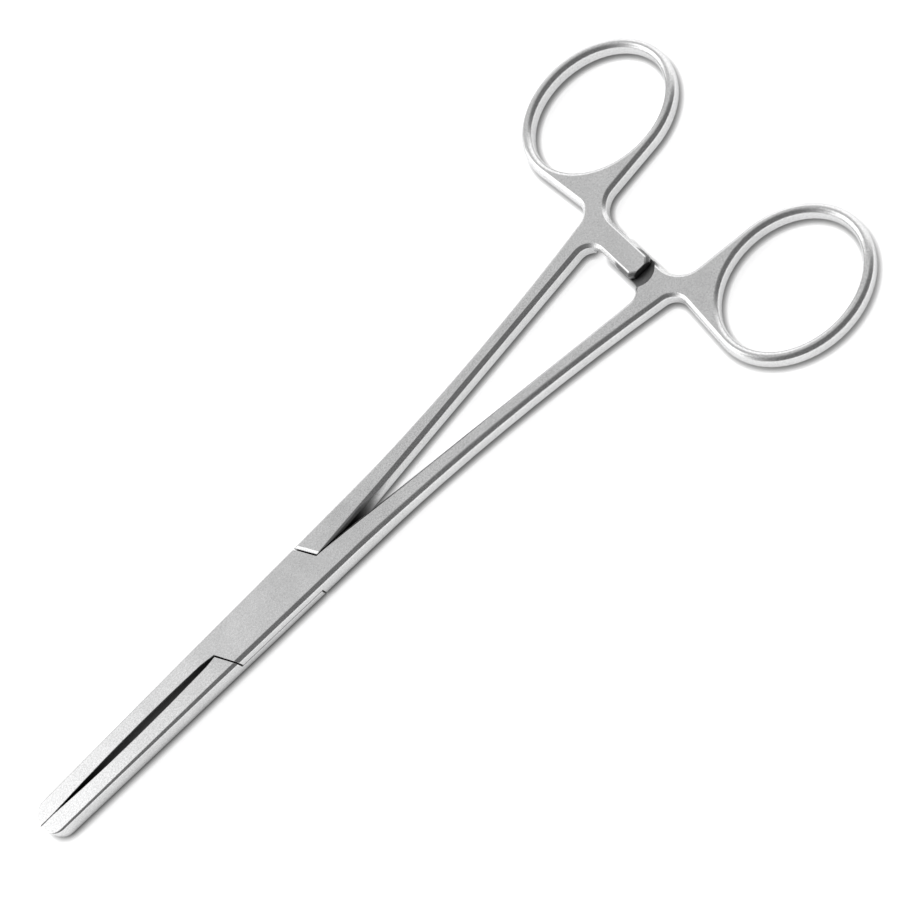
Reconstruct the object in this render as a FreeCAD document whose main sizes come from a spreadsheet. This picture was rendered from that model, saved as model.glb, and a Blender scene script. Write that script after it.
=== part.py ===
import FreeCAD, Part
import math
import os
import Sketcher

# Tube occluding forceps, in millimetres.
# X runs along the jaws towards their tips, Y towards the upper half's finger ring, Z up.
# The origin is on the pivot axis, at the underside of the lap joint, which lies flat.
# Two forged halves cross in a half-lap joint and turn on one flush rivet: the upper half is on top
# in the joint, the lower half is below it, and their ratchet bars cross the other way round.

SIZES = {
    # jaws
    "jaw_reach": 59.2,
    "jaw_end_half_width": 3.7,
    "jaw_end_lean": 0.6,
    "nose_radius": 3.4,
    "jaw_grinding": 0.4,
    "tip_clearance": 0.02,
    "tip_contact_length": 3.5,
    "jaw_relief_radius": 420.0,
    "jaw_relief_start": 3.3,
    "jaw_root_gap": 0.5,
    # lap joint
    "joint_thickness": 4.8,
    "upper_shoulder": 13.35,
    "lower_shoulder": 12.35,
    "shoulder_slant": 30.0,
    "shoulder_gap": 0.3,
    "shoulder_bevel_width": 0.65,
    "shoulder_bevel_depth": 0.25,
    "lap_gap": 0.1,
    "crotch_gap": 0.08,
    # shanks
    "shank_bend": 18.0,
    "shank_bend_half_width": 5.03,
    "shank_outer_radius": 480.0,
    "shank_parting": 20.0,
    "shank_inner_slope": 0.109,
    "shank_thickness": 3.9,
    "taper_start": 2.0,
    "shank_taper_length": 24.0,
    "jaw_tip_thickness": 4.1,
    "jaw_taper_radius": 300.0,
    # finger rings
    "ring_place": 108.6,
    "ring_spread": 26.6,
    "ring_long_half": 14.05,
    "ring_short_half": 11.35,
    "ring_wall": 2.2,
    "ring_toe": 2.0,
    # web between shank and ring
    "web_lean": 5.0,
    "web_fillet": 3.0,
    "web_far_fillet": 5.0,
    # ratchet
    "ratchet_place": 92.4,
    "ratchet_width": 5.4,
    "ratchet_reach": 4.15,
    "ratchet_corner": 0.8,
    "ratchet_step": 3.5,
    "ratchet_step_radius": 3.65,
    "ratchet_step_shift": 0.8,
    "ratchet_clearance": 0.1,
    "tooth_pitch": 1.8,
    "tooth_depth": 0.7,
    "tooth_count": 3,
    "tooth_start": 1.9,
    # edges
    "edge_bevel": 0.7,
    # rivet
    "rivet_radius": 1.8,
    "rivet_head_radius": 2.5,
    "rivet_head_depth": 0.7,
    "rivet_clearance": 0.05,
}

SHEET = "sheet"
ORIGIN = (-1, 1)
START, END, CENTRE = range(1, 4)
UPPER, LOWER = 1, -1
LEVEL, STEEP, SAME = 0.9, 0.1, 0.01


def make_sheet(doc):
    """One cell for each driving size, with the size's name as its alias."""
    sheet = doc.addObject("Spreadsheet::Sheet", SHEET)
    for row, (name, size) in enumerate(SIZES.items(), start=1):
        sheet.set(f"A{row}", name)
        sheet.set(f"B{row}", str(size))
        sheet.setAlias(f"B{row}", name)
    doc.recompute()
    return sheet


def value(owner, expression):
    """The number that an expression on the sheet gives now."""
    found = owner.evalExpression(expression)
    return float(getattr(found, "Value", found))


def product(*factors):
    return " * ".join(f"({factor})" for factor in factors)


def plane(body, role):
    return next(item for item in body.Origin.OriginFeatures if item.Role == role)


class Outline:
    """A sketch on one of the body's own planes, with its corners bound to the sheet."""

    def __init__(self, body, name, role="XY_Plane", height=None):
        self.sketch = body.newObject("Sketcher::SketchObject", name)
        self.sketch.AttachmentSupport = [(plane(body, role), "")]
        self.sketch.MapMode = "FlatFace"
        if height is not None:
            self.sketch.setExpression(".AttachmentOffset.Base.z", height)

    def limit(self, kind, places, expression):
        """Adds one constraint and binds its value, an angle's in degrees."""
        number = value(self.sketch, expression)
        if kind == "Angle":
            number = math.radians(number)
            expression = product(expression, "1 deg")
        index = self.sketch.addConstraint(Sketcher.Constraint(kind, *places, number))
        self.sketch.setExpression(f"Constraints[{index}]", expression)

    def tie(self, kind, *places):
        self.sketch.addConstraint(Sketcher.Constraint(kind, *places))

    def place(self, geometry, end, x, y):
        """Binds a point's coordinates."""
        self.limit("DistanceX", ORIGIN + (geometry, end), x)
        self.limit("DistanceY", ORIGIN + (geometry, end), y)

    def line(self, start, end):
        ends = [FreeCAD.Vector(*point, 0) for point in (start, end)]
        return self.sketch.addGeometry(Part.LineSegment(*ends))

    def arc(self, centre, radius, start, end):
        """An arc drawn anticlockwise from start to end."""
        turns = [math.atan2(y - centre[1], x - centre[0]) for x, y in (start, end)]
        circle = Part.Circle(FreeCAD.Vector(*centre, 0), FreeCAD.Vector(0, 0, 1), radius)
        if turns[1] < turns[0]:
            turns[1] += 2 * math.pi
        return self.sketch.addGeometry(Part.ArcOfCircle(circle, *turns))

    def bow(self, centre, radius, start, end):
        """The short arc from start to end: its number and its ends at start and at end."""
        sweep = [(x - centre[0], y - centre[1]) for x, y in (start, end)]
        if sweep[0][0] * sweep[1][1] > sweep[0][1] * sweep[1][0]:
            return self.arc(centre, radius, start, end), START, END
        return self.arc(centre, radius, end, start), END, START

    def polygon(self, corners):
        """A closed polygon through corners given as pairs of expressions."""
        points = [tuple(value(self.sketch, part) for part in corner) for corner in corners]
        sides = [self.line(start, end) for start, end in zip(points, points[1:] + points[:1])]
        for side, following in zip(sides, sides[1:] + sides[:1]):
            self.tie("Coincident", side, END, following, START)
        for side, corner in zip(sides, corners):
            self.place(side, START, *corner)
        return sides

    def ellipse(self, long_half, short_half, x, y, side):
        """A closed ellipse for a finger opening, toed in as its ring is."""
        centre = FreeCAD.Vector(value(self.sketch, x), value(self.sketch, y), 0)
        turned = FreeCAD.Rotation(FreeCAD.Vector(0, 0, 1), side * value(self.sketch, "sheet.ring_toe"))
        long_end = FreeCAD.Vector(value(self.sketch, long_half), 0, 0)
        short_end = FreeCAD.Vector(0, value(self.sketch, short_half), 0)
        ends = [centre + turned.multVec(end) for end in (long_end, short_end)]
        curve = self.sketch.addGeometry(Part.Ellipse(*ends, centre))
        self.bind_ellipse(curve, long_half, short_half, x, y, product(-side, "180 - sheet.ring_toe"))

    def slot_end(self, x, y, radius, foot, side):
        """A channel with a round end at y, open towards foot. side is 1 where y is above foot."""
        centre = [value(self.sketch, part) for part in (x, y)]
        size = value(self.sketch, radius)
        low = value(self.sketch, foot)
        right, left = centre[0] + size, centre[0] - size
        ends = [(right, centre[1]), (left, centre[1])]
        cap = self.arc(centre, size, *ends[::side])
        entry, leaving = (START, END)[::side]
        down = self.line((left, centre[1]), (left, low))
        base = self.line((left, low), (right, low))
        up = self.line((right, low), (right, centre[1]))
        self.tie("Tangent", cap, leaving, down, START)
        self.tie("Coincident", down, END, base, START)
        self.tie("Coincident", base, END, up, START)
        self.tie("Tangent", up, END, cap, entry)
        self.tie("Vertical", down)
        self.tie("Horizontal", base)
        self.place(cap, CENTRE, x, y)
        self.limit("Radius", (cap,), radius)
        self.limit("DistanceY", ORIGIN + (base, START), foot)

    def bind_ellipse(self, curve, long_half, short_half, x, y, turn):
        """Binds the centre, the axes and the turn of an ellipse or of an arc of one."""
        self.sketch.exposeInternalGeometry(curve)
        long_axis, short_axis = curve + 1, curve + 2
        self.place(curve, CENTRE, x, y)
        self.limit("Distance", (long_axis,), product(2, long_half))
        self.limit("Distance", (short_axis,), product(2, short_half))
        self.limit("Angle", (long_axis,), turn)


NOSE_X = "(sheet.jaw_reach - sheet.jaw_end_lean)"


def flank_half_width(x):
    """Half width of a half between its tip and the bend of its shank, as an expression of x."""
    spread = "(sheet.shank_bend_half_width - sheet.jaw_end_half_width)"
    share = f"({NOSE_X} - ({x})) / ({NOSE_X} + sheet.shank_bend)"
    return f"(sheet.jaw_end_half_width + {spread} * {share})"


SLANT = "tan(sheet.shoulder_slant * 1 deg)"
MIDDLE = "sheet.joint_thickness / 2"
BAR_FRONT = "(sheet.ratchet_place - sheet.ratchet_width / 2)"
BAR_REAR = "(sheet.ratchet_place + sheet.ratchet_width / 2)"


def shoulder_end(side_of_pivot, shoulder):
    """Where a slanted shoulder line meets the flank: x, and y taken as positive.

    side_of_pivot is 1 towards the tips and -1 towards the rings."""
    slope = f"(({flank_half_width(0)}) - ({flank_half_width(1)}))"
    at_axis = flank_half_width(f"{side_of_pivot} * ({shoulder})")
    y = f"({at_axis} / (1 - {side_of_pivot} * {slope} * {SLANT}))"
    x = f"({side_of_pivot} * (({shoulder}) - {y} * {SLANT}))"
    return x, y


def shoulder_line(side_of_pivot, shoulder, y="sheet.crotch_gap"):
    """The x of a slanted shoulder line at a y that is positive on the crotch's side of it."""
    return f"({side_of_pivot} * (({shoulder}) + ({y}) * {SLANT}))"


def inner_root(shoulder):
    """Where the straight inner edge of the shank, drawn on past the parting, meets its shoulder."""
    slope = "sheet.shank_inner_slope"
    fall = f"{slope} * ({shoulder} - sheet.shank_parting)"
    y = f"((sheet.crotch_gap + {fall}) / (1 - {slope} * {SLANT}))"
    return shoulder_line(-1, shoulder, y), y


class HalfPlan(Outline):
    """The outline of one half seen from above, with its finger ring's outer edge.

    side is 1 where the ring is at positive y and -1 where it is at negative y. Each curve of the
    outline is named after the corner where it begins, and self.chain holds its number in the
    sketch with the ends at which it is entered and left."""

    LONG_HALF = "(sheet.ring_long_half + sheet.ring_wall)"
    SHORT_HALF = "(sheet.ring_short_half + sheet.ring_wall)"
    ORDER = ("tip", "nose", "rear shoulder", "crotch", "bar root", "bar end", "bar end, rear",
             "far web", "ring", "near web", "shank", "outer bend", "front shoulder",
             "front crotch", "relief", "contact")
    BOWS = {"shank": "sheet.shank_outer_radius", "relief": "sheet.jaw_relief_radius"}

    def __init__(self, body, name, side, shoulder):
        super().__init__(body, name)
        self.side = side
        self.chain = {}
        self.corners = self.corner_expressions(shoulder)
        self.at = {corner: self.point(*place) for corner, place in self.corners.items()}
        self.draw()

    def mirrored(self, y):
        return product(self.side, y)

    def point(self, x, y):
        return value(self.sketch, x), value(self.sketch, self.mirrored(y))

    @staticmethod
    def corner_expressions(shoulder):
        """The corners whose places follow straight from the sheet, for a ring at positive y."""
        rear_x, rear_y = shoulder_end(-1, shoulder)
        front_x, front_y = shoulder_end(1, shoulder)
        rise = f"sheet.shank_inner_slope * ({BAR_FRONT} - sheet.shank_parting)"
        return {
            "tip": ("sheet.jaw_reach + sheet.jaw_grinding", "-sheet.tip_clearance"),
            "nose": (f"{NOSE_X} + sheet.jaw_grinding",
                     "-(sheet.jaw_end_half_width + sheet.jaw_grinding)"),
            "rear shoulder": (rear_x, f"-{rear_y}"),
            "crotch": inner_root(shoulder),
            "bar root": (f"-{BAR_FRONT}", f"(sheet.crotch_gap + {rise})"),
            "bar end": (f"-{BAR_FRONT}", "-sheet.ratchet_reach"),
            "bar end, rear": (f"-{BAR_REAR}", "-sheet.ratchet_reach"),
            "outer bend": ("-sheet.shank_bend", "sheet.shank_bend_half_width"),
            "front shoulder": (front_x, front_y),
            "front crotch": (shoulder_line(1, shoulder), "-sheet.crotch_gap"),
            "relief": (f"{shoulder_line(1, shoulder)} + sheet.jaw_relief_start",
                       "-sheet.jaw_root_gap"),
            "contact": ("sheet.jaw_reach - sheet.tip_contact_length", "-sheet.tip_clearance"),
        }

    def straight(self, name, end):
        self.chain[name] = (self.line(self.at[name], end), START, END)

    def curved(self, name, end):
        """An arc with its centre on the side of the ring."""
        start, radius = self.at[name], value(self.sketch, self.BOWS[name])
        middle = [(a + b) / 2 for a, b in zip(start, end)]
        half = math.dist(start, end) / 2
        away = math.sqrt(radius**2 - half**2) / (2 * half)
        across = (start[1] - end[1], end[0] - start[0])
        centre = [m + self.side * away * c for m, c in zip(middle, across)]
        self.chain[name] = self.bow(centre, radius, start, end)

    def ring_arc(self, ring, near, far):
        """The part of the ring's ellipse between the web's two edges."""
        turns = [ring.parameter(touch) for touch in (near, far)][::self.side]
        if turns[1] < turns[0]:
            turns[1] += 2 * math.pi
        curve = self.sketch.addGeometry(Part.ArcOfEllipse(ring, *turns))
        self.bind_ellipse(curve, self.LONG_HALF, self.SHORT_HALF, "-sheet.ring_place",
                          self.mirrored("sheet.ring_spread"),
                          product(-self.side, "180 - sheet.ring_toe"))
        self.chain["ring"] = (curve, *(END, START)[::self.side])

    def ring_outline(self):
        """The ring as an ellipse, with the points where the web's two edges run into it."""
        long_half = value(self.sketch, self.LONG_HALF)
        short_half = value(self.sketch, self.SHORT_HALF)
        toe = value(self.sketch, "sheet.ring_toe")
        far_lean = -math.degrees(math.atan(value(self.sketch, "sheet.shank_inner_slope")))
        near_lean = 90 - value(self.sketch, "sheet.web_lean")
        centre = FreeCAD.Vector(*self.point("-sheet.ring_place", "sheet.ring_spread"), 0)
        turned = FreeCAD.Rotation(FreeCAD.Vector(0, 0, 1), self.side * toe)
        long_end = centre + turned.multVec(FreeCAD.Vector(long_half, 0, 0))
        short_end = centre + turned.multVec(FreeCAD.Vector(0, short_half, 0))
        ring = Part.Ellipse(long_end, short_end, centre)
        touches = []
        for lean in (far_lean, near_lean):
            slope = math.tan(math.radians(lean - toe))
            reach = math.hypot(long_half * slope, short_half)
            along = long_half**2 * slope / reach
            across = -self.side * short_half**2 / reach
            touches.append(centre + turned.multVec(FreeCAD.Vector(along, across, 0)))
        return ring, touches

    def draw(self):
        """Draws the outline near its final place, which the constraints then settle."""
        at, side = self.at, self.side
        ring, (far, near) = self.ring_outline()
        slope = value(self.sketch, "sheet.shank_inner_slope")
        bar_rear_x = at["bar end, rear"][0]
        at["far web"] = (bar_rear_x, far.y - side * slope * (bar_rear_x - far.x))
        at["ring"], at["near web"] = (far.x, far.y), (near.x, near.y)
        at["shank"] = (near.x - 1, side * value(self.sketch, "sheet.shank_bend_half_width * 2"))
        for name, following in zip(self.ORDER, self.ORDER[1:] + self.ORDER[:1]):
            if name == "ring":
                self.ring_arc(ring, near, far)
            elif name in self.BOWS:
                self.curved(name, at[following])
            else:
                self.straight(name, at[following])
        self.constrain()

    def constrain(self):
        """Closes the outline and binds it to the sheet."""
        links = list(self.chain.values())
        for name, link, following in zip(self.chain, links, links[1:] + links[:1]):
            kind = "Tangent" if name in ("far web", "ring", "shank") else "Coincident"
            self.tie(kind, link[0], link[2], following[0], following[1])
        for name, (x, y) in self.corners.items():
            curve, entry, _ = self.chain[name]
            self.place(curve, entry, x, self.mirrored(y))
        far_web, near_web = self.chain["far web"][0], self.chain["near web"][0]
        self.limit("DistanceX", ORIGIN + (far_web, START), f"-{BAR_REAR}")
        inward = "(180 - atan(sheet.shank_inner_slope) / 1 deg)"
        self.limit("Angle", (far_web,), self.mirrored(inward))
        self.limit("Angle", (near_web,), self.mirrored("-(90 + sheet.web_lean)"))
        for name, radius in self.BOWS.items():
            self.limit("Radius", (self.chain[name][0],), radius)

    def corner(self, name):
        """Where the outline's curve of this name begins."""
        self.sketch.solve()
        curve, entry, _ = self.chain[name]
        return self.sketch.getPoint(curve, entry)


class JawWaste(Outline):
    """What is ground off the jaw's flank, its nose and its end, seen from above."""

    def __init__(self, body, name, side, shoulder):
        super().__init__(body, name, height="sheet.joint_thickness")
        x, y = shoulder_end(-1, shoulder)
        lean = "sheet.jaw_end_lean / (sheet.jaw_end_half_width - sheet.tip_clearance)"
        beyond = "(sheet.jaw_reach * 1.5)"
        corners = [(x, f"-{y}"), (NOSE_X, "-sheet.jaw_end_half_width"),
                   (f"(sheet.jaw_reach + {lean} * sheet.jaw_end_half_width)",
                    "(sheet.jaw_end_half_width - sheet.tip_clearance)"),
                   (beyond, "(sheet.jaw_end_half_width - sheet.tip_clearance)"),
                   (beyond, f"-2 * {y}"), (x, f"-2 * {y}")]
        corners = [(across, product(side, along)) for across, along in corners]
        start, nose, end = (self.spot(*corner) for corner in corners[:3])
        radius = value(self.sketch, "sheet.nose_radius")
        towards = [(FreeCAD.Vector(*other, 0) - FreeCAD.Vector(*nose, 0)).normalize()
                   for other in (start, end)]
        half_turn = towards[0].getAngle(towards[1]) / 2
        touches = [FreeCAD.Vector(*nose, 0) + way * (radius / math.tan(half_turn)) for way in towards]
        middle = (towards[0] + towards[1]).normalize() * (radius / math.sin(half_turn))
        centre = (nose[0] + middle.x, nose[1] + middle.y)
        flank = self.line(start, touches[0][:2])
        arc, entry, leaving = self.bow(centre, radius, touches[0][:2], touches[1][:2])
        face = self.line(touches[1][:2], end)
        self.tie("Tangent", flank, END, arc, entry)
        self.tie("Tangent", arc, leaving, face, START)
        self.limit("Radius", (arc,), "sheet.nose_radius")
        corner = self.sketch.addGeometry(Part.Point(FreeCAD.Vector(*nose, 0)), True)
        self.place(corner, START, *corners[1])
        for straight in (flank, face):
            self.tie("PointOnObject", corner, START, straight)
        spots = [self.spot(*corner) for corner in corners[2:]] + [start]
        sides = [self.line(*ends) for ends in zip(spots, spots[1:])]
        links = [face, *sides, flank]
        for link, following in zip(links, links[1:]):
            self.tie("Coincident", link, END, following, START)
        for side_line, corner in zip([*sides, flank], corners[2:] + corners[:1]):
            self.place(side_line, START, *corner)

    def spot(self, x, y):
        return value(self.sketch, x), value(self.sketch, y)


class TaperSection(Outline):
    """What the tapers take off one face, seen from the side. way is 1 above and -1 below."""

    BEGIN = "(sheet.upper_shoulder + sheet.taper_start)"
    CLEAR = "sheet.joint_thickness"

    def __init__(self, body, name, way):
        super().__init__(body, name, role="XZ_Plane")
        self.way = way
        self.shank()
        self.jaw()

    def level(self, offset):
        """A height given as an offset from the middle of the joint, outwards."""
        return f"({MIDDLE} + {product(self.way, offset)})"

    def spot(self, x, offset):
        return value(self.sketch, x), value(self.sketch, self.level(offset))

    def easing(self, flat_end, other_end, radius, outwards):
        """An arc that is level at its flat end, with its centre outwards (1) or inwards (-1)."""
        centre = (flat_end[0], flat_end[1] + self.way * outwards * radius)
        return self.bow(centre, radius, flat_end, other_end)

    def surround(self, eased, low_corner, low_end):
        """Closes a section round its eased stretch, through three corners clear of the part."""
        corners = [low_corner, (low_corner[0], self.CLEAR), (low_end[0], self.CLEAR)]
        spots = [self.spot(*corner) for corner in corners]
        sides = [self.line(*ends) for ends in zip(spots, spots[1:] + [self.spot(*low_end)])]
        for side, following in zip(sides, sides[1:]):
            self.tie("Coincident", side, END, following, START)
        self.tie("Coincident", sides[-1], END, eased[0][0], eased[0][1])
        self.tie("Coincident", eased[-1][0], eased[-1][2], sides[0], START)
        for side, (x, offset) in zip(sides, corners):
            self.place(side, START, x, self.level(offset))

    def shank(self):
        """Two equal arcs ease the face down to the shank's thickness."""
        drop = "((sheet.joint_thickness - sheet.shank_thickness) / 2)"
        radius = f"((sheet.shank_taper_length ^ 2 + {drop} ^ 2) / (4 * {drop}))"
        begin = (f"-{self.BEGIN}", MIDDLE)
        finish = (f"-({self.BEGIN} + sheet.shank_taper_length)", "sheet.shank_thickness / 2")
        behind = ("-(sheet.ring_place + sheet.ring_long_half * 2)", finish[1])
        size = value(self.sketch, radius)
        first, last = self.spot(*begin), self.spot(*finish)
        turning = tuple((a + b) / 2 for a, b in zip(first, last))
        crown = self.easing(first, turning, size, -1)
        arc, low_end, high_end = self.easing(last, turning, size, 1)
        foot = (arc, high_end, low_end)
        flat = (self.line(last, self.spot(*behind)), START, END)
        self.tie("Tangent", crown[0], crown[2], foot[0], foot[1])
        self.tie("Coincident", foot[0], foot[2], flat[0], START)
        self.place(crown[0], crown[1], begin[0], self.level(begin[1]))
        self.place(foot[0], foot[2], finish[0], self.level(finish[1]))
        self.limit("DistanceX", ORIGIN + (crown[0], CENTRE), begin[0])
        self.limit("DistanceX", ORIGIN + (foot[0], CENTRE), finish[0])
        self.limit("Radius", (crown[0],), radius)
        self.surround([crown, foot, flat], behind, begin)

    def jaw(self):
        """An arc eases the face down to the jaw's straight taper."""
        drop = "((sheet.joint_thickness - sheet.jaw_tip_thickness) / 2)"
        slope = f"({drop} / (sheet.jaw_reach - {self.BEGIN}))"
        begin = (self.BEGIN, MIDDLE)
        ahead_x = "(sheet.jaw_reach * 2)"
        ahead = (ahead_x, f"({MIDDLE} - {slope} * ({ahead_x} - {self.BEGIN}))")
        size = value(self.sketch, "sheet.jaw_taper_radius")
        first, last = self.spot(*begin), self.spot(*ahead)
        along = size * value(self.sketch, slope)
        eased = (first[0] + along, first[1] - self.way * along**2 / (2 * size))
        crown = self.easing(first, eased, size, -1)
        straight = (self.line(eased, last), START, END)
        self.tie("Tangent", crown[0], crown[2], straight[0], START)
        self.place(crown[0], crown[1], begin[0], self.level(begin[1]))
        self.limit("DistanceX", ORIGIN + (crown[0], CENTRE), begin[0])
        self.limit("Radius", (crown[0],), "sheet.jaw_taper_radius")
        self.surround([crown, straight], ahead, begin)


def add(body, kind, name, **settings):
    """One feature of a body. A setting in text is an expression, any other is a plain value."""
    feature = body.newObject(f"PartDesign::{kind}", name)
    for key, setting in settings.items():
        if isinstance(setting, str) and key not in ("Type", "SideType", "ChamferType"):
            feature.setExpression(key, setting)
        else:
            setattr(feature, key, setting)
    body.Document.recompute()
    return feature


def upright_edge(shape, place):
    """The name of the upright edge nearest a place."""
    def miss(numbered):
        first, last = (vertex.Point for vertex in numbered[1].Vertexes)
        if math.dist(first[:2], last[:2]) > SAME:
            return math.inf
        return math.dist(first[:2], place[:2])
    uprights = [(n, edge) for n, edge in enumerate(shape.Edges, start=1) if len(edge.Vertexes) == 2]
    return f"Edge{min(uprights, key=miss)[0]}"


def normal_at(face, point):
    return face.normalAt(*face.Surface.parameter(point))


def rim_edges(shape, left_out):
    """The names of the edges between a flat top or underside and an upright wall."""
    names = []
    for number, edge in enumerate(shape.Edges, start=1):
        middle = edge.valueAt((edge.FirstParameter + edge.LastParameter) / 2)
        normals = [normal_at(face, middle) for face in shape.ancestorsOfType(edge, Part.Face)]
        level = [normal for normal in normals if abs(normal.z) > LEVEL]
        walls = [normal for normal in normals if abs(normal.z) < STEEP]
        if level and walls and not left_out(middle, walls[0]):
            names.append(f"Edge{number}")
    return names


class Half:
    """One forged half. side is 1 for the upper half and -1 for the lower half, which is the same
    shape turned over about the X axis, apart from its shoulders and its fit on the rivet."""

    def __init__(self, doc, label, side, shoulder, other_shoulder, rivet_fit):
        self.doc = doc
        self.side = side
        self.body = doc.addObject("PartDesign::Body", label)
        self.body.Label = label
        self.name = label
        self.shoulder = f"({shoulder} - sheet.shoulder_gap / 2)"
        self.other_shoulder = f"({other_shoulder} + sheet.shoulder_gap / 2)"
        self.blank()
        self.rounded_corners()
        self.thinned()
        self.bevelled()
        self.closing_face()
        self.ground_jaw()
        self.lap()
        self.ratchet()
        self.rivet_hole(rivet_fit)
        self.shoulder_bevels()

    def title(self, words):
        return f"{self.name}_{words}"

    def size(self, expression):
        return value(self.plan.sketch, expression)

    def mirrored(self, y):
        return product(self.side, y)

    def height(self, offset):
        """A height given as an offset from the middle of the joint."""
        return f"({MIDDLE} + {product(self.side, offset)})"

    def blank(self):
        """The outline at the joint's full thickness, with the finger opening."""
        self.plan = HalfPlan(self.body, self.title("plan"), self.side, self.shoulder)
        add(self.body, "Pad", self.title("blank"), Profile=self.plan.sketch,
            Length="sheet.joint_thickness")
        opening = Outline(self.body, self.title("finger_plan"), height="sheet.joint_thickness")
        opening.ellipse("sheet.ring_long_half", "sheet.ring_short_half", "-sheet.ring_place",
                        self.mirrored("sheet.ring_spread"), self.side)
        add(self.body, "Pocket", self.title("finger_opening"), Profile=opening.sketch,
            Type="ThroughAll")

    def round_off(self, kind, name, size, places):
        base = self.body.Tip
        edges = [upright_edge(base.Shape, place) for place in places]
        sizing = {"Radius" if kind == "Fillet" else "Size": size}
        add(self.body, kind, self.title(name), Base=(base, edges), **sizing)

    def rounded_corners(self):
        corner = self.plan.corner
        self.round_off("Fillet", "nose", "sheet.nose_radius", [corner("nose")])
        self.round_off("Fillet", "web_front", "sheet.web_fillet",
                       [corner("bar root"), corner("shank")])
        self.round_off("Fillet", "web_rear", "sheet.web_far_fillet", [corner("far web")])
        self.round_off("Chamfer", "bar_end", "sheet.ratchet_corner",
                       [corner("bar end"), corner("bar end, rear")])

    def thinned(self):
        """Thins the shank behind the joint and the jaw towards its tip, on both faces alike."""
        for name, way in (("top", 1), ("underside", -1)):
            section = TaperSection(self.body, self.title(f"{name}_section"), way)
            add(self.body, "Pocket", self.title(f"{name}_taper"), Profile=section.sketch,
                Type="ThroughAll", SideType="Symmetric")

    def bevelled(self):
        """The bevel round the rim. The shoulders, the jaw's closing face and the bar's end have
        none."""
        base = self.body.Tip
        slant = math.cos(math.radians(self.size("sheet.shoulder_slant")))
        joint_end = self.size("sheet.shank_bend")
        half_width = self.size("sheet.jaw_end_half_width / 2")

        def left_out(middle, wall):
            along = abs(wall.y) > LEVEL
            shoulder = abs(abs(wall.x) - slant) < SAME and abs(middle.x) < joint_end
            closing = along and middle.x > 0 and abs(middle.y) < half_width
            bar_end = along and middle.x < -joint_end and middle.y * self.side < 0
            return shoulder or closing or bar_end
        add(self.body, "Chamfer", self.title("bevel"), Base=(base, rim_edges(base.Shape, left_out)),
            Size="sheet.edge_bevel")

    def closing_face(self):
        """Trims the bevelled shank to the wall on the middle plane, where the halves part."""
        trim = Outline(self.body, self.title("closing_plan"), height="sheet.joint_thickness")
        root_x, root_y = inner_root(self.shoulder)
        past = "(-2 * sheet.shank_parting)"
        trim.polygon([(root_x, self.mirrored(root_y)),
                      (shoulder_line(-1, self.shoulder), self.mirrored("sheet.crotch_gap")),
                      (past, self.mirrored("sheet.crotch_gap")),
                      (past, self.mirrored(f"2 * {root_y}"))])
        add(self.body, "Pocket", self.title("closing_face"), Profile=trim.sketch,
            Type="ThroughAll")

    def ground_jaw(self):
        """Grinds the bevelled jaw to its width, so that its bevel narrows towards the tip."""
        waste = JawWaste(self.body, self.title("jaw_waste_plan"), self.side, self.shoulder)
        add(self.body, "Pocket", self.title("ground_jaw"), Profile=waste.sketch, Type="ThroughAll")

    def lap(self):
        """The half of the joint's thickness that makes room for the other half."""
        shoulder = self.other_shoulder
        wide = "(sheet.shank_bend_half_width * 2)"
        slanted = f"({shoulder} - {wide} * {SLANT})"
        past = "(sheet.upper_shoulder * 2)"
        room = Outline(self.body, self.title("lap_plan"), height=self.height("sheet.lap_gap / 2"))
        near, far = self.mirrored("sheet.crotch_gap"), self.mirrored("-sheet.crotch_gap")
        root = f"({shoulder} - sheet.crotch_gap * {SLANT})"
        room.polygon([(root, far), (slanted, self.mirrored(f"-{wide}")),
                      (f"-{past}", self.mirrored(f"-{wide}")), (f"-{past}", near),
                      (f"-{root}", near), (f"-{slanted}", self.mirrored(wide)),
                      (past, self.mirrored(wide)), (past, far)])
        add(self.body, "Pocket", self.title("lap"), Profile=room.sketch, Type="ThroughAll",
            Reversed=self.side == LOWER)

    def ratchet(self):
        """Leaves half of the bar's thickness, with teeth in the face towards the other bar."""
        step = Outline(self.body, self.title("bar_step_plan"),
                       height=self.height("-sheet.ratchet_clearance / 2"))
        step.slot_end("(sheet.ratchet_step_shift - sheet.ratchet_place)",
                      self.mirrored("sheet.ratchet_step"), "sheet.ratchet_step_radius",
                      self.mirrored("-sheet.ratchet_reach * 1.5"), self.side)
        add(self.body, "Pocket", self.title("bar_step"), Profile=step.sketch, Type="ThroughAll",
            Reversed=self.side == UPPER)

        tooth = Outline(self.body, self.title("tooth_plan"), role="YZ_Plane",
                        height="-sheet.ratchet_place")
        steep = self.mirrored("-sheet.tooth_start")
        gentle = self.mirrored("sheet.tooth_pitch - sheet.tooth_start")
        face = self.height("-sheet.ratchet_clearance / 2")
        tooth.polygon([(steep, self.height("-sheet.ratchet_clearance / 2 - sheet.tooth_depth")),
                       (gentle, face), (gentle, self.height("sheet.tooth_depth")),
                       (steep, self.height("sheet.tooth_depth"))])
        gullet = add(self.body, "Pocket", self.title("tooth"), Profile=tooth.sketch,
                     SideType="Symmetric", Length="sheet.ratchet_width * 2")
        teeth = add(self.body, "LinearPattern", self.title("teeth"), Originals=[gullet],
                    Direction=(tooth.sketch, ["H_Axis"]), Reversed=self.side == LOWER,
                    Length="sheet.tooth_pitch * (sheet.tooth_count - 1)",
                    Occurrences="sheet.tooth_count")
        self.body.Tip = teeth
        self.doc.recompute()

    def rivet_hole(self, fit):
        hole = rivet_profile(self.body, self.title("rivet_section"), fit)
        add(self.body, "Groove", self.title("rivet_hole"), Profile=hole.sketch,
            ReferenceAxis=(hole.sketch, ["V_Axis"]))

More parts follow.
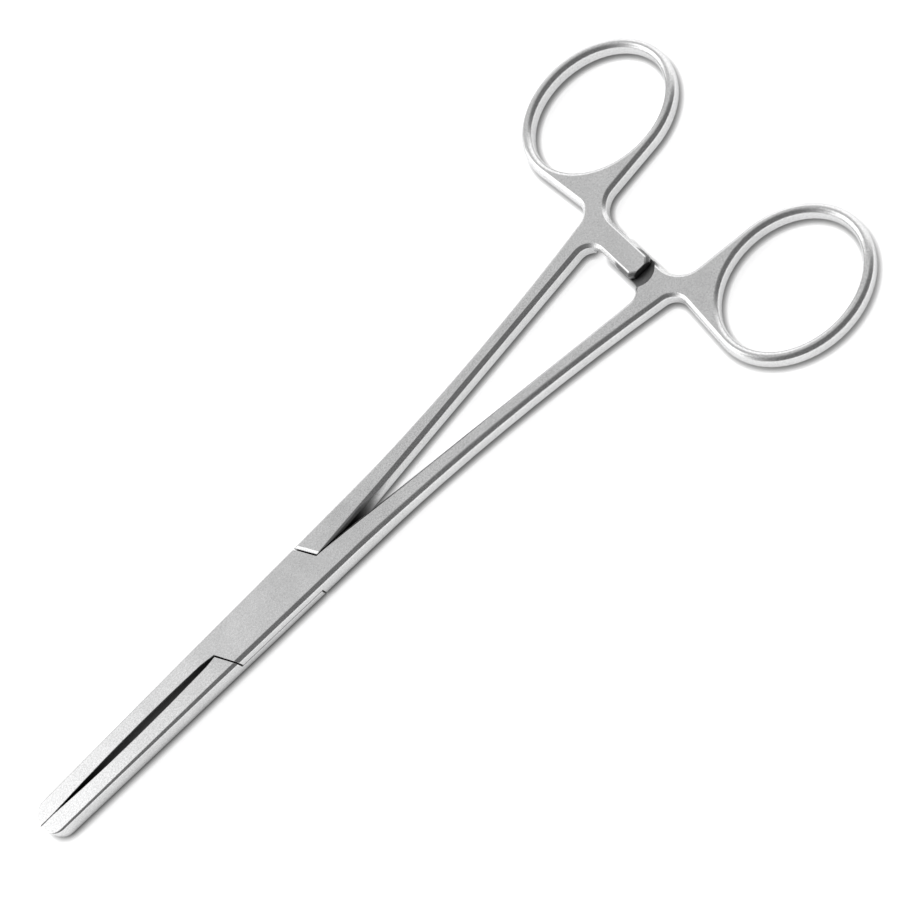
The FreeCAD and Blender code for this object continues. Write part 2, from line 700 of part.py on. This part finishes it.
    def shoulder_bevels(self):
        """The shallow bevel where the full thickness of the shank begins."""
        base = self.body.Tip
        rear_x, rear_y = shoulder_end(-1, self.other_shoulder)
        edge_x = self.size(f"({rear_x} - {self.other_shoulder}) / 2")
        edge_y = self.size(self.mirrored(f"{rear_y} / 2"))
        middle = Part.Vertex(edge_x, edge_y, self.size(self.height(f"-{MIDDLE}")))
        nearest = min(enumerate(base.Shape.Edges, start=1),
                      key=lambda numbered: numbered[1].distToShape(middle)[0])
        add(self.body, "Chamfer", self.title("shoulder_bevel"), Base=(base, [f"Edge{nearest[0]}"]),
            ChamferType="Two distances",
            Size="sheet.shoulder_bevel_width", Size2="sheet.shoulder_bevel_depth")


def rivet_profile(body, name, fit):
    """Half of the rivet's section, widened all round by a fit."""
    head = f"sheet.rivet_head_radius + {fit}"
    shaft = f"sheet.rivet_radius + {fit}"
    section = Outline(body, name, role="XZ_Plane")
    section.polygon([("0", "0"), (head, "0"), (shaft, "sheet.rivet_head_depth"),
                     (shaft, "sheet.joint_thickness - sheet.rivet_head_depth"),
                     (head, "sheet.joint_thickness"), ("0", "sheet.joint_thickness")])
    return section


def make_rivet(doc):
    """The rivet, peened flush into a countersink at each end."""
    body = doc.addObject("PartDesign::Body", "pivot_rivet")
    body.Label = "pivot_rivet"
    section = rivet_profile(body, "rivet_section", "0")
    add(body, "Revolution", "rivet", Profile=section.sketch,
        ReferenceAxis=(section.sketch, ["V_Axis"]))
    return body


def check(doc):
    """Stops before anything is written if a feature has failed."""
    failed = [item.Label for item in doc.Objects if {"Invalid", "Error"} & set(item.State)]
    bodies = [item for item in doc.Objects if item.TypeId == "PartDesign::Body"]
    failed += [body.Label for body in bodies if body.Shape.isNull() or not body.Shape.isValid()]
    if failed:
        raise RuntimeError(f"not built: {', '.join(failed)}")
    return bodies


def main():
    doc = FreeCAD.newDocument("tube_occluding_forceps")
    make_sheet(doc)
    Half(doc, "upper_half", UPPER, "sheet.upper_shoulder", "sheet.lower_shoulder", "0")
    Half(doc, "lower_half", LOWER, "sheet.lower_shoulder", "sheet.upper_shoulder",
         "sheet.rivet_clearance")
    make_rivet(doc)
    doc.recompute()
    bodies = check(doc)
    os.makedirs("parts", exist_ok=True)
    for body in bodies:
        body.Shape.exportStep(f"parts/{body.Label}.step")


main()
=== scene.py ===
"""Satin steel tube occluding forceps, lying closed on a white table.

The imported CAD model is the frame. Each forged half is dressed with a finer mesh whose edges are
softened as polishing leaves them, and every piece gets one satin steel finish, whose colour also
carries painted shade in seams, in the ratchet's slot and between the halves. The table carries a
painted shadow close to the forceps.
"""

import logging
import math
from dataclasses import dataclass, field
from enum import Enum

import bmesh
import bpy
from mathutils import Matrix, Vector

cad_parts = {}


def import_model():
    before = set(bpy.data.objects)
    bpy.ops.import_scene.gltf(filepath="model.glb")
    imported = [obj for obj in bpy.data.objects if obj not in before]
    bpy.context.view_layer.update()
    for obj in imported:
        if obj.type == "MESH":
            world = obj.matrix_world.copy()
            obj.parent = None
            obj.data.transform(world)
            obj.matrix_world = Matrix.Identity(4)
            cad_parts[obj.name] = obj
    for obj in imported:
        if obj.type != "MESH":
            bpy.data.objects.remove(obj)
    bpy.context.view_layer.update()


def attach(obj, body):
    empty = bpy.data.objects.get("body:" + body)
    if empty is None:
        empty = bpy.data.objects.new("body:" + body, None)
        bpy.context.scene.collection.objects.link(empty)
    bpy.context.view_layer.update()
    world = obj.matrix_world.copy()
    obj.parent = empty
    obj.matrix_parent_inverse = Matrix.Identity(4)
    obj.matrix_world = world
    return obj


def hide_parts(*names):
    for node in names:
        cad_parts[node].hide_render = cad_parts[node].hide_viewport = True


LOG = logging.getLogger("forceps")
MM = 0.001


class Body(Enum):
    """The bodies of the forceps that move against each other."""

    UPPER = "upper"
    LOWER = "lower"


class Value:
    """A socket of a node tree, with arithmetic that adds Math nodes."""

    def __init__(self, shader: "Shader", socket: bpy.types.NodeSocket) -> None:
        """Wraps one output socket.

        Args:
            shader: The shader that the socket's node belongs to.
            socket: The output socket.
        """
        self.shader = shader
        self.socket = socket

    def _math(self, operation: str, *terms: "Value | float") -> "Value":
        """Adds one Math node for some terms."""
        return self.shader.node("ShaderNodeMath", {"operation": operation}, dict(enumerate(terms)))

    def __add__(self, other: "Value | float") -> "Value":
        """The sum."""
        return self._math("ADD", self, other)

    def __radd__(self, other: float) -> "Value":
        """The sum, with the number first."""
        return self._math("ADD", other, self)

    def __sub__(self, other: "Value | float") -> "Value":
        """The difference."""
        return self._math("SUBTRACT", self, other)

    def __rsub__(self, other: float) -> "Value":
        """The difference, with the number first."""
        return self._math("SUBTRACT", other, self)

    def __mul__(self, other: "Value | float") -> "Value":
        """The product."""
        return self._math("MULTIPLY", self, other)

    def __rmul__(self, other: float) -> "Value":
        """The product, with the number first."""
        return self._math("MULTIPLY", other, self)

    def __pow__(self, exponent: float) -> "Value":
        """This value raised to a power."""
        return self._math("POWER", self, exponent)

    def __abs__(self) -> "Value":
        """This value without its sign."""
        return self._math("ABSOLUTE", self)

    def clamped(self) -> "Value":
        """This value kept between 0 and 1."""
        return self.shader.node("ShaderNodeClamp", {}, {"Value": self})

    def below(self, limit: float, fade: float) -> "Value":
        """1 where this value lies under a limit, which fades to 0 above it.

        Args:
            limit: The limit.
            fade: How far the change takes.

        Returns:
            The factor.
        """
        return self.shader.node("ShaderNodeMapRange", {"interpolation_type": "SMOOTHSTEP"}, {
            "Value": self, "From Min": limit, "From Max": limit + fade, "To Min": 1.0, "To Max": 0.0})


class Shader:
    """A node tree that is built by short expressions."""

    def __init__(self, tree: bpy.types.NodeTree) -> None:
        """Empties the tree.

        Args:
            tree: The node tree of a material or of the world.
        """
        self.tree = tree
        tree.nodes.clear()

    def node(self, kind: str, settings: dict[str, object], inputs: dict[int | str, object],
             output: int | str = 0) -> Value | None:
        """Adds one node.

        Args:
            kind: The node's type.
            settings: Attributes of the node, which are set first.
            inputs: Values or links of its input sockets, by name or number.
            output: The output socket to return.

        Returns:
            The chosen output, or nothing where the node has none.
        """
        made = self.tree.nodes.new(kind)
        for name, setting in settings.items():
            setattr(made, name, setting)
        for key, given in inputs.items():
            if isinstance(given, Value):
                self.tree.links.new(given.socket, made.inputs[key])
            else:
                made.inputs[key].default_value = given
        return Value(self, made.outputs[output]) if made.outputs else None

    def place(self) -> Value:
        """The place on the piece, in the object's own coordinates."""
        return self.node("ShaderNodeTexCoord", {}, {}, "Object")

    def along(self, axis: str, place: Value) -> Value:
        """The coordinate of a place along one axis."""
        return self.node("ShaderNodeSeparateXYZ", {}, {"Vector": place}, axis)

    def colour(self, red: Value, green: Value, blue: Value) -> Value:
        """The colour that three channels make."""
        return self.node("ShaderNodeCombineColor", {}, {"Red": red, "Green": green, "Blue": blue})


@dataclass(frozen=True)
class Speckle:
    """Noise in the object's own coordinates, as even grains of one size.

    Attributes:
        grain: The size of a grain, in metres.
        detail: How many finer layers lie on it.
        depth: How far it moves what it varies, as a share.
        turn: How it lies, askew so that the flats don't follow its grid.
        layering: How strong each finer layer is, as a share of the one before.
    """

    grain: float
    detail: float
    depth: float
    turn: tuple[float, float, float] = (0.6, 0.45, 0.3)
    layering: float = 0.6

    def build(self, shader: Shader) -> Value:
        """Adds the noise.

        Args:
            shader: The shader that it belongs to.

        Returns:
            A factor around 1.
        """
        askew = shader.node("ShaderNodeMapping", {}, {
            "Vector": shader.place(), "Rotation": self.turn})
        noise = shader.node("ShaderNodeTexNoise", {}, {
            "Vector": askew, "Scale": 1 / self.grain, "Detail": self.detail,
            "Roughness": self.layering})
        return noise * (2 * self.depth) + (1 - self.depth)


@dataclass(frozen=True)
class PaintedCreviceShade:
    """Painted shade: colour darkened beside other faces, where shade falls.

    Attributes:
        reach: How near another face has to be to darken this one, in metres.
        depth: How strongly it darkens, as a power.
        samples: How many rays look for other faces.
    """

    reach: float
    depth: float
    samples: int

    def build(self, shader: Shader) -> Value:
        """Adds the painted shade.

        Args:
            shader: The shader that it belongs to.

        Returns:
            1 on open faces, and less where other faces are near.
        """
        # Ambient occlusion, painted into the colour as shade.
        painted_shade_factor = shader.node("ShaderNodeAmbientOcclusion", {"samples": self.samples}, {
            "Distance": self.reach}, "AO")
        return painted_shade_factor ** self.depth


@dataclass(frozen=True)
class SlotShadePatch:
    """The ratchet's slot and the end of its bar: rougher steel, with painted shade darkening its
    colour.

    Attributes:
        centre: The middle of the slot's round end.
        reach: The radius of that end.
        outwards: How far the change takes beyond that radius.
        top: The height from which the steel is bright again.
        upwards: How far the change takes above that height.
        shade: The share of its colour that the steel keeps under the painted shade.
    """

    centre: tuple[float, float, float] = (-91.6 * MM, 3.5 * MM, 0.0)
    reach: float = 3.75 * MM
    outwards: float = 1.0 * MM
    top: float = 4.05 * MM
    upwards: float = 0.2 * MM
    shade: float = 0.30

    def build(self, shader: Shader) -> Value:
        """Adds the patch.

        Args:
            shader: The shader that it belongs to.

        Returns:
            1 on the patch and 0 everywhere else.
        """
        place = shader.place()
        level = shader.node("ShaderNodeVectorMath", {"operation": "MULTIPLY"},
                            {0: place, 1: (1.0, 1.0, 0.0)}, "Vector")
        away = shader.node("ShaderNodeVectorMath", {"operation": "DISTANCE"},
                           {0: level, 1: self.centre}, "Value")
        height = shader.along("Z", place)
        return away.below(self.reach, self.outwards) * height.below(self.top, self.upwards)


@dataclass(frozen=True)
class ClosingShadePatch:
    """The halves' facing sides along the middle plane: rougher steel, with painted shade darkening
    its colour between the halves.

    Attributes:
        behind: How far behind the pivot the dull faces reach.
        tail: How far the change takes beyond that.
        aside: How far from the middle plane they lie at most.
        top: The height of their upper edge at the pivot.
        fall: How steeply that edge falls away from the pivot.
        fade: How far the change takes sideways and upwards.
        shade: The share of its colour that the dull steel keeps.
    """

    behind: float = 24.0 * MM
    tail: float = 6.0 * MM
    aside: float = 1.0 * MM
    top: float = 4.5 * MM
    fall: float = 0.0077
    fade: float = 0.2 * MM
    # shade: The share of its colour that the steel keeps under the painted shade.
    shade: float = 0.35

    def build(self, shader: Shader) -> Value:
        """Adds the patch.

        Args:
            shader: The shader that it belongs to.

        Returns:
            1 on the patch and 0 everywhere else.
        """
        place = shader.place()
        forward, aside = shader.along("X", place), abs(shader.along("Y", place))
        height = shader.along("Z", place) + abs(forward) * self.fall
        return ((0.0 - forward).below(self.behind, self.tail) * aside.below(self.aside, self.fade)
                * height.below(self.top, self.fade))


@dataclass(frozen=True)
class Steel:
    """Satin stainless steel, whose colour also carries painted shade where shade falls.

    Attributes:
        name: The material's name.
        colour: Its mean colour.
        roughness: Its mean roughness.
        fine: The grain of the satin, which colours it.
        cloudy: The wide patches that hand polishing leaves.
        pits: The depth of the grain, in metres.
        painted_crevice_shade: Its painted shade in seams and corners, where shade falls.
        dull_and_shaded: Where the steel is rougher and its colour carries painted shade.
        dull_roughness: What those places add to the roughness.
    """

    name: str = "satin_steel"
    colour: tuple[float, float, float] = (0.66, 0.66, 0.662)
    roughness: float = 0.25
    fine: Speckle = Speckle(grain=0.30 * MM, detail=3.0, depth=0.32)
    cloudy: Speckle = Speckle(grain=6.0 * MM, detail=2.0, depth=0.10)
    pits: float = 0.002 * MM
    # Painted shade in seams and corners.
    painted_crevice_shade: PaintedCreviceShade = PaintedCreviceShade(reach=1.2 * MM, depth=1.5, samples=8)
    dull_and_shaded: tuple[SlotShadePatch | ClosingShadePatch, ...] = (SlotShadePatch(), ClosingShadePatch())
    dull_roughness: float = 0.25

    def material(self) -> bpy.types.Material:
        """Builds the material.

        Returns:
            The finished material.
        """
        material = bpy.data.materials.new(self.name)
        material.use_nodes = True
        shader = Shader(material.node_tree)
        fine, cloudy = self.fine.build(shader), self.cloudy.build(shader)
        # The grain and the polishing patches are the steel's own tone; the crevice factor is painted
        # shade.
        shade = fine * cloudy * self.painted_crevice_shade.build(shader)
        roughness = cloudy * self.roughness
        # Painted shade: each patch darkens the colour and makes the steel rougher.
        for dull_and_shaded in self.dull_and_shaded:
            patch = dull_and_shaded.build(shader)
            shade = shade * (1 - patch * (1 - dull_and_shaded.shade))
            roughness = roughness + patch * self.dull_roughness
        relief = shader.node("ShaderNodeBump", {}, {
            "Strength": 1.0, "Distance": self.pits, "Height": fine})
        surface = shader.node("ShaderNodeBsdfPrincipled", {}, {
            "Base Color": shader.colour(*(shade * share for share in self.colour)),
            "Metallic": 1.0, "Normal": relief, "Roughness": roughness})
        shader.node("ShaderNodeOutputMaterial", {}, {"Surface": surface})
        return material


@dataclass(frozen=True)
class Stretch:
    """A radius that changes evenly between two places and stays level beyond them.

    Attributes:
        start: Where the change begins.
        at_start: The radius there.
        end: Where the change ends.
        at_end: The radius there.
    """

    start: float
    at_start: float
    end: float
    at_end: float

    def at(self, place: float) -> float:
        """The radius at a place."""
        share = min(max((place - self.start) / (self.end - self.start), 0.0), 1.0)
        return self.at_start + share * (self.at_end - self.at_start)


@dataclass(frozen=True)
class Rounding:
    """How far polishing has rounded the edges along one half.

    Attributes:
        plain: The radius of most edges.
        outside: The bevel's edges on the shank's outer side, along the half from the pivot.
        handle: How that rounding ends towards the handle, as a share.
        ring: The bevel's edges along the web and round the ring, outwards from the middle.
        ring_start: How far behind the pivot the web begins.
        segments: How many faces a rounded edge has across it.
        square: The angle from which an edge is a corner, not one of the bevel's edges.
        smooth: The angle under which two faces are one surface.
        crisp: The angle from which such an edge of the joint still shows as a line.
        joint: How far from the pivot the joint reaches.
        rivet: The distance from the pivot within which nothing is rounded.
        slope: How the shank's middle line runs outwards.
        middle_start: Where that line leaves the middle plane, behind the pivot.
        upright: How upright the normal of a face on top of the joint is at least.
        ground_area: The least area of a ground face, in square metres.
    """

    plain: float = 0.12 * MM
    outside: Stretch = Stretch(16.0 * MM, 0.12 * MM, 42.0 * MM, 0.44 * MM)
    handle: Stretch = Stretch(76.0 * MM, 0.0, 87.0 * MM, 1.0)
    ring: Stretch = Stretch(9.5 * MM, 0.12 * MM, 14.0 * MM, 0.35 * MM)
    ring_start: float = 84.0 * MM
    segments: int = 3
    square: float = math.radians(60)
    smooth: float = math.radians(25)
    crisp: float = math.radians(15)
    joint: float = 18.0 * MM
    rivet: float = 3.0 * MM
    slope: float = 0.109
    middle_start: float = 2.7 * MM
    upright: float = 0.9
    ground_area: float = 1.5 * MM * MM

    @property
    def widest(self) -> float:
        """The largest of the radii."""
        return self.outside.at_end

    def radius(self, place: Vector, turn: float) -> float:
        """The radius of an edge.

        Args:
            place: The edge's middle.
            turn: The angle between its two faces.

        Returns:
            The radius in metres, or 0 where the edge stays as it is.
        """
        behind, aside = -place.x, abs(place.y)
        if turn < self.smooth or place.xy.length < self.rivet:
            return 0.0
        radius = self.plain
        if behind > self.outside.start and aside > (behind - self.middle_start) * self.slope:
            share = self.handle.at(behind)
            radius = (1 - share) * self.outside.at(behind) + share * self.plain
        if behind > self.ring_start and turn < self.square:
            radius = max(radius, self.ring.at(aside))
        return radius

    def is_ground(self, place: Vector, normal: Vector, area: float) -> bool:
        """Whether a face is one of those that were ground flat on top of the joint."""
        return place.xy.length < self.joint and normal.z > self.upright and area > self.ground_area

    def is_crisp(self, place: Vector, turn: float) -> bool:
        """Whether an edge stays as it is but still shows as a line."""
        return self.crisp < turn < self.smooth and self.rivet < place.xy.length < self.joint


@dataclass
class DressedNode:
    """A CAD node whose copy is merged, softened and dressed.

    Attributes:
        node: The node's name.
        body: The body that it rides on.
        finish: Its material.
        rounding: How its edges are rounded, if they are.
        merge_distance: How near two points are that are one.
        flat_angle: The angle under which two faces are one.
        crease_angle: The angle from which an edge shows as a crease.
    """

    node: str
    body: Body
    finish: bpy.types.Material
    rounding: Rounding | None = Rounding()
    merge_distance: float = 0.0005 * MM
    flat_angle: float = math.radians(0.05)
    crease_angle: float = math.radians(40)

    def build(self) -> bpy.types.Object:
        """Makes the piece that stands for the node.

        Returns:
            The finished piece.
        """
        piece = self._copy()
        self._merge()
        if self.rounding:
            self._weigh_edges(piece.data)
            self._soften(piece)
        self._shade(piece)
        piece.data.materials.clear()
        piece.data.materials.append(self.finish)
        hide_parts(self.node)
        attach(piece, self.body.value)
        return piece

    def _copy(self) -> bpy.types.Object:
        """Copies the node with its mesh, as the only selected object and the active one.

        Returns:
            The copy.
        """
        source = bpy.data.objects[self.node]
        piece = source.copy()
        piece.data = source.data.copy()
        piece.name = f"{self.node}_finished"
        bpy.context.scene.collection.objects.link(piece)
        piece.parent = None
        piece.matrix_world = Matrix.Identity(4)
        bpy.ops.object.select_all(action="DESELECT")
        piece.select_set(True)
        bpy.context.view_layer.objects.active = piece
        return piece

    def _merge(self) -> None:
        """Joins the active mesh's loose triangles, and makes one face of those in one plane."""
        bpy.ops.object.mode_set(mode="EDIT")
        bpy.ops.mesh.select_all(action="SELECT")
        bpy.ops.mesh.remove_doubles(threshold=self.merge_distance)
        bpy.ops.mesh.dissolve_limited(angle_limit=self.flat_angle)
        bpy.ops.object.mode_set(mode="OBJECT")

    def _weigh_edges(self, mesh: bpy.types.Mesh) -> None:
        """Gives each edge its radius, as a share of the widest.

        Args:
            mesh: The merged mesh.
        """
        faces = bmesh.new()
        faces.from_mesh(mesh)
        shares = faces.edges.layers.float.new("bevel_weight_edge")
        for edge in faces.edges:
            if edge.is_manifold and edge.is_convex:
                middle = (edge.verts[0].co + edge.verts[1].co) / 2
                turn = edge.calc_face_angle()
                edge[shares] = self.rounding.radius(middle, turn) / self.rounding.widest
                edge.smooth = not self.rounding.is_crisp(middle, turn)
        faces.to_mesh(mesh)
        faces.free()

    def _soften(self, piece: bpy.types.Object) -> None:
        """Rounds the edges by their shares.

        Args:
            piece: The merged piece, whose edges have their shares.
        """
        soften = piece.modifiers.new("softened_edges", "BEVEL")
        soften.width = self.rounding.widest
        soften.segments = self.rounding.segments
        soften.limit_method = "WEIGHT"
        soften.use_clamp_overlap = False
        bpy.ops.object.modifier_apply(modifier=soften.name)

    def _shade(self, piece: bpy.types.Object) -> None:
        """Shades the curved faces as smooth and the flat ones as flat.

        Args:
            piece: The softened piece.
        """
        bpy.ops.object.shade_smooth_by_angle(angle=self.crease_angle)
        weighted = piece.modifiers.new("even_faces", "WEIGHTED_NORMAL")
        weighted.keep_sharp = True
        bpy.ops.object.modifier_apply(modifier=weighted.name)
        if self.rounding:
            self._flatten_joint(piece.data)

    def _flatten_joint(self, mesh: bpy.types.Mesh) -> None:
        """Shades the ground faces on top of the joint as flat, each with its own normal.

        Args:
            mesh: The softened mesh.
        """
        normals = [Vector(corner.vector) for corner in mesh.corner_normals]
        for face in mesh.polygons:
            if self.rounding.is_ground(face.center, face.normal, face.area):
                for corner in face.loop_indices:
                    normals[corner] = Vector(face.normal)
        mesh.normals_split_custom_set(normals)


@dataclass(frozen=True)
class PhotoCamera:
    """The camera that took the photograph, as fitted to the forceps' outline.

    Attributes:
        target: The point that it looks at.
        distance: How far it is from that point.
        tilt: How far it leans from straight above, in radians.
        swing: Which way it leans, in radians from +Y towards +X.
        roll: How it is turned about its own line of sight, in radians.
        lens: Its focal length, in millimetres.
        sensor: The width of its sensor, in millimetres.
        nearest: How near it sees, in metres.
    """

    target: Vector = field(default_factory=lambda: Vector((-44.57, 3.80, 4.8)) * MM)
    distance: float = 366.67 * MM
    tilt: float = 0.4887
    swing: float = -0.1019
    roll: float = 0.7746
    lens: float = 80.44
    sensor: float = 36.0
    nearest: float = 10.0 * MM

    def build(self) -> bpy.types.Object:
        """Adds the camera and makes it the scene's own.

        Returns:
            The camera object.
        """
        back = Vector((math.sin(self.tilt) * math.sin(self.swing),
                       math.sin(self.tilt) * math.cos(self.swing), math.cos(self.tilt)))
        level = Vector((-1, 0, 0))
        level = (level - back * level.dot(back)).normalized()
        down = (-back).cross(level)
        right = math.cos(self.roll) * level + math.sin(self.roll) * down
        down = -math.sin(self.roll) * level + math.cos(self.roll) * down
        data = bpy.data.cameras.new("photo_camera")
        data.lens = self.lens
        data.sensor_width = self.sensor
        data.clip_start = self.nearest
        camera = bpy.data.objects.new("photo_camera", data)
        bpy.context.scene.collection.objects.link(camera)
        turn = Matrix((right, -down, back)).transposed().to_4x4()
        camera.matrix_world = Matrix.Translation(self.target + self.distance * back) @ turn
        bpy.context.scene.camera = camera
        return camera


@dataclass(frozen=True)
class Lobe:
    """A soft patch of the studio that is brighter or darker than the rest.

    Attributes:
        azimuth: Where it lies, in degrees from +X towards +Y.
        elevation: How high it lies, in degrees.
        core: The angle from its middle within which it has its full strength, in degrees.
        edge: The angle from its middle beyond which it has none, in degrees.
        strength: What it adds to the light at its middle.
    """

    azimuth: float
    elevation: float
    core: float
    edge: float
    strength: float

    def direction(self) -> Vector:
        """Finds where the patch lies.

        Returns:
            The unit vector from the forceps towards its middle.
        """
        azimuth, elevation = math.radians(self.azimuth), math.radians(self.elevation)
        level = math.cos(elevation)
        return Vector((level * math.cos(azimuth), level * math.sin(azimuth), math.sin(elevation)))

    def build(self, shader: Shader, towards: Value) -> Value:
        """Adds the patch.

        Args:
            shader: The world's shader.
            towards: The direction that is looked in.

        Returns:
            What the patch adds to the light in that direction.
        """
        nearness = shader.node("ShaderNodeVectorMath", {"operation": "DOT_PRODUCT"},
                               {0: towards, 1: self.direction()}, "Value")
        return shader.node("ShaderNodeMapRange", {"interpolation_type": "SMOOTHSTEP"}, {
            "Value": nearness, "From Min": math.cos(math.radians(self.edge)),
            "From Max": math.cos(math.radians(self.core)), "To Min": 0.0, "To Max": self.strength})


@dataclass(frozen=True)
class Studio:
    """The white table and the soft light around it.

    Attributes:
        floor_size: The side of the table top.
        floor_drop: How far it lies under the forceps, so that the two don't flicker.
        floor_colour: How white it is.
        floor_glow: What is added to it where it is seen or mirrored, which makes it white.
        painted_contact_shadow: The painted shadow on it close to the forceps.
        room: The even light from all round.
        lobes: The patches that are brighter or darker.
    """

    floor_size: float = 4.0
    floor_drop: float = 0.02 * MM
    floor_colour: float = 0.90
    floor_glow: float = 0.66
    # Painted shadow close to the forceps.
    painted_contact_shadow: PaintedCreviceShade = PaintedCreviceShade(reach=1.4 * MM, depth=1.8, samples=16)
    room: float = 0.70
    lobes: tuple[Lobe, ...] = (
        Lobe(azimuth=-36, elevation=44, core=14, edge=23, strength=1.42),
        Lobe(azimuth=-140, elevation=8, core=30, edge=58, strength=0.80),
        Lobe(azimuth=-28, elevation=0, core=25, edge=46, strength=1.00),
        Lobe(azimuth=95, elevation=22, core=48, edge=84, strength=-0.50),
    )

    def build(self) -> None:
        """Adds the table top and the room's light."""
        self._floor()
        self._world()

    def _floor(self) -> None:
        """Adds the table top under the forceps."""
        bpy.ops.mesh.primitive_plane_add(size=self.floor_size, location=(0, 0, -self.floor_drop))
        floor = bpy.context.active_object
        floor.name = "table_top"
        floor.data.materials.append(self._white())

    def _white(self) -> bpy.types.Material:
        """Builds the table's material.

        Returns:
            The finished material.
        """
        material = bpy.data.materials.new("white_table")
        material.use_nodes = True
        shader = Shader(material.node_tree)
        camera, glossy, transmission = (
            shader.node("ShaderNodeLightPath", {}, {}, f"Is {kind} Ray")
            for kind in ("Camera", "Glossy", "Transmission"))
        seen = (camera + glossy + transmission).clamped()
        # Painted shadow: the table's colour and glow darken close to the forceps.
        painted_shade_factor = self.painted_contact_shadow.build(shader)
        paint = painted_shade_factor * self.floor_colour
        surface = shader.node("ShaderNodeBsdfPrincipled", {}, {
            "Base Color": shader.colour(paint, paint, paint),
            "Roughness": 1.0, "Specular IOR Level": 0.0,
            "Emission Color": shader.colour(painted_shade_factor, painted_shade_factor, painted_shade_factor),
            "Emission Strength": seen * self.floor_glow})
        shader.node("ShaderNodeOutputMaterial", {}, {"Surface": surface})
        return material

    def _world(self) -> None:
        """Lights the scene from all round, from the lobes on an even room."""
        world = bpy.data.worlds.new("studio")
        bpy.context.scene.world = world
        world.use_nodes = True
        shader = Shader(world.node_tree)
        towards = shader.node("ShaderNodeTexCoord", {}, {}, "Generated")
        light: Value | float = self.room
        for lobe in self.lobes:
            light = lobe.build(shader, towards) + light
        sky = shader.node("ShaderNodeBackground", {}, {"Color": (1, 1, 1, 1), "Strength": light})
        shader.node("ShaderNodeOutputWorld", {}, {"Surface": sky})


def main() -> None:
    """Builds the forceps, the studio and the camera."""
    logging.basicConfig(level=logging.INFO, format="%(name)s: %(message)s")
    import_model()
    steel = Steel().material()
    nodes = (DressedNode("upper_half", Body.UPPER, steel),
             DressedNode("lower_half", Body.LOWER, steel),
             DressedNode("pivot_rivet", Body.UPPER, steel, rounding=None))
    for node in nodes:
        piece = node.build()
        LOG.info("%s: %d faces", piece.name, len(piece.data.polygons))
    Studio().build()
    PhotoCamera().build()
    bpy.context.scene.view_settings.view_transform = "Standard"


if __name__ == "__main__":
    main()
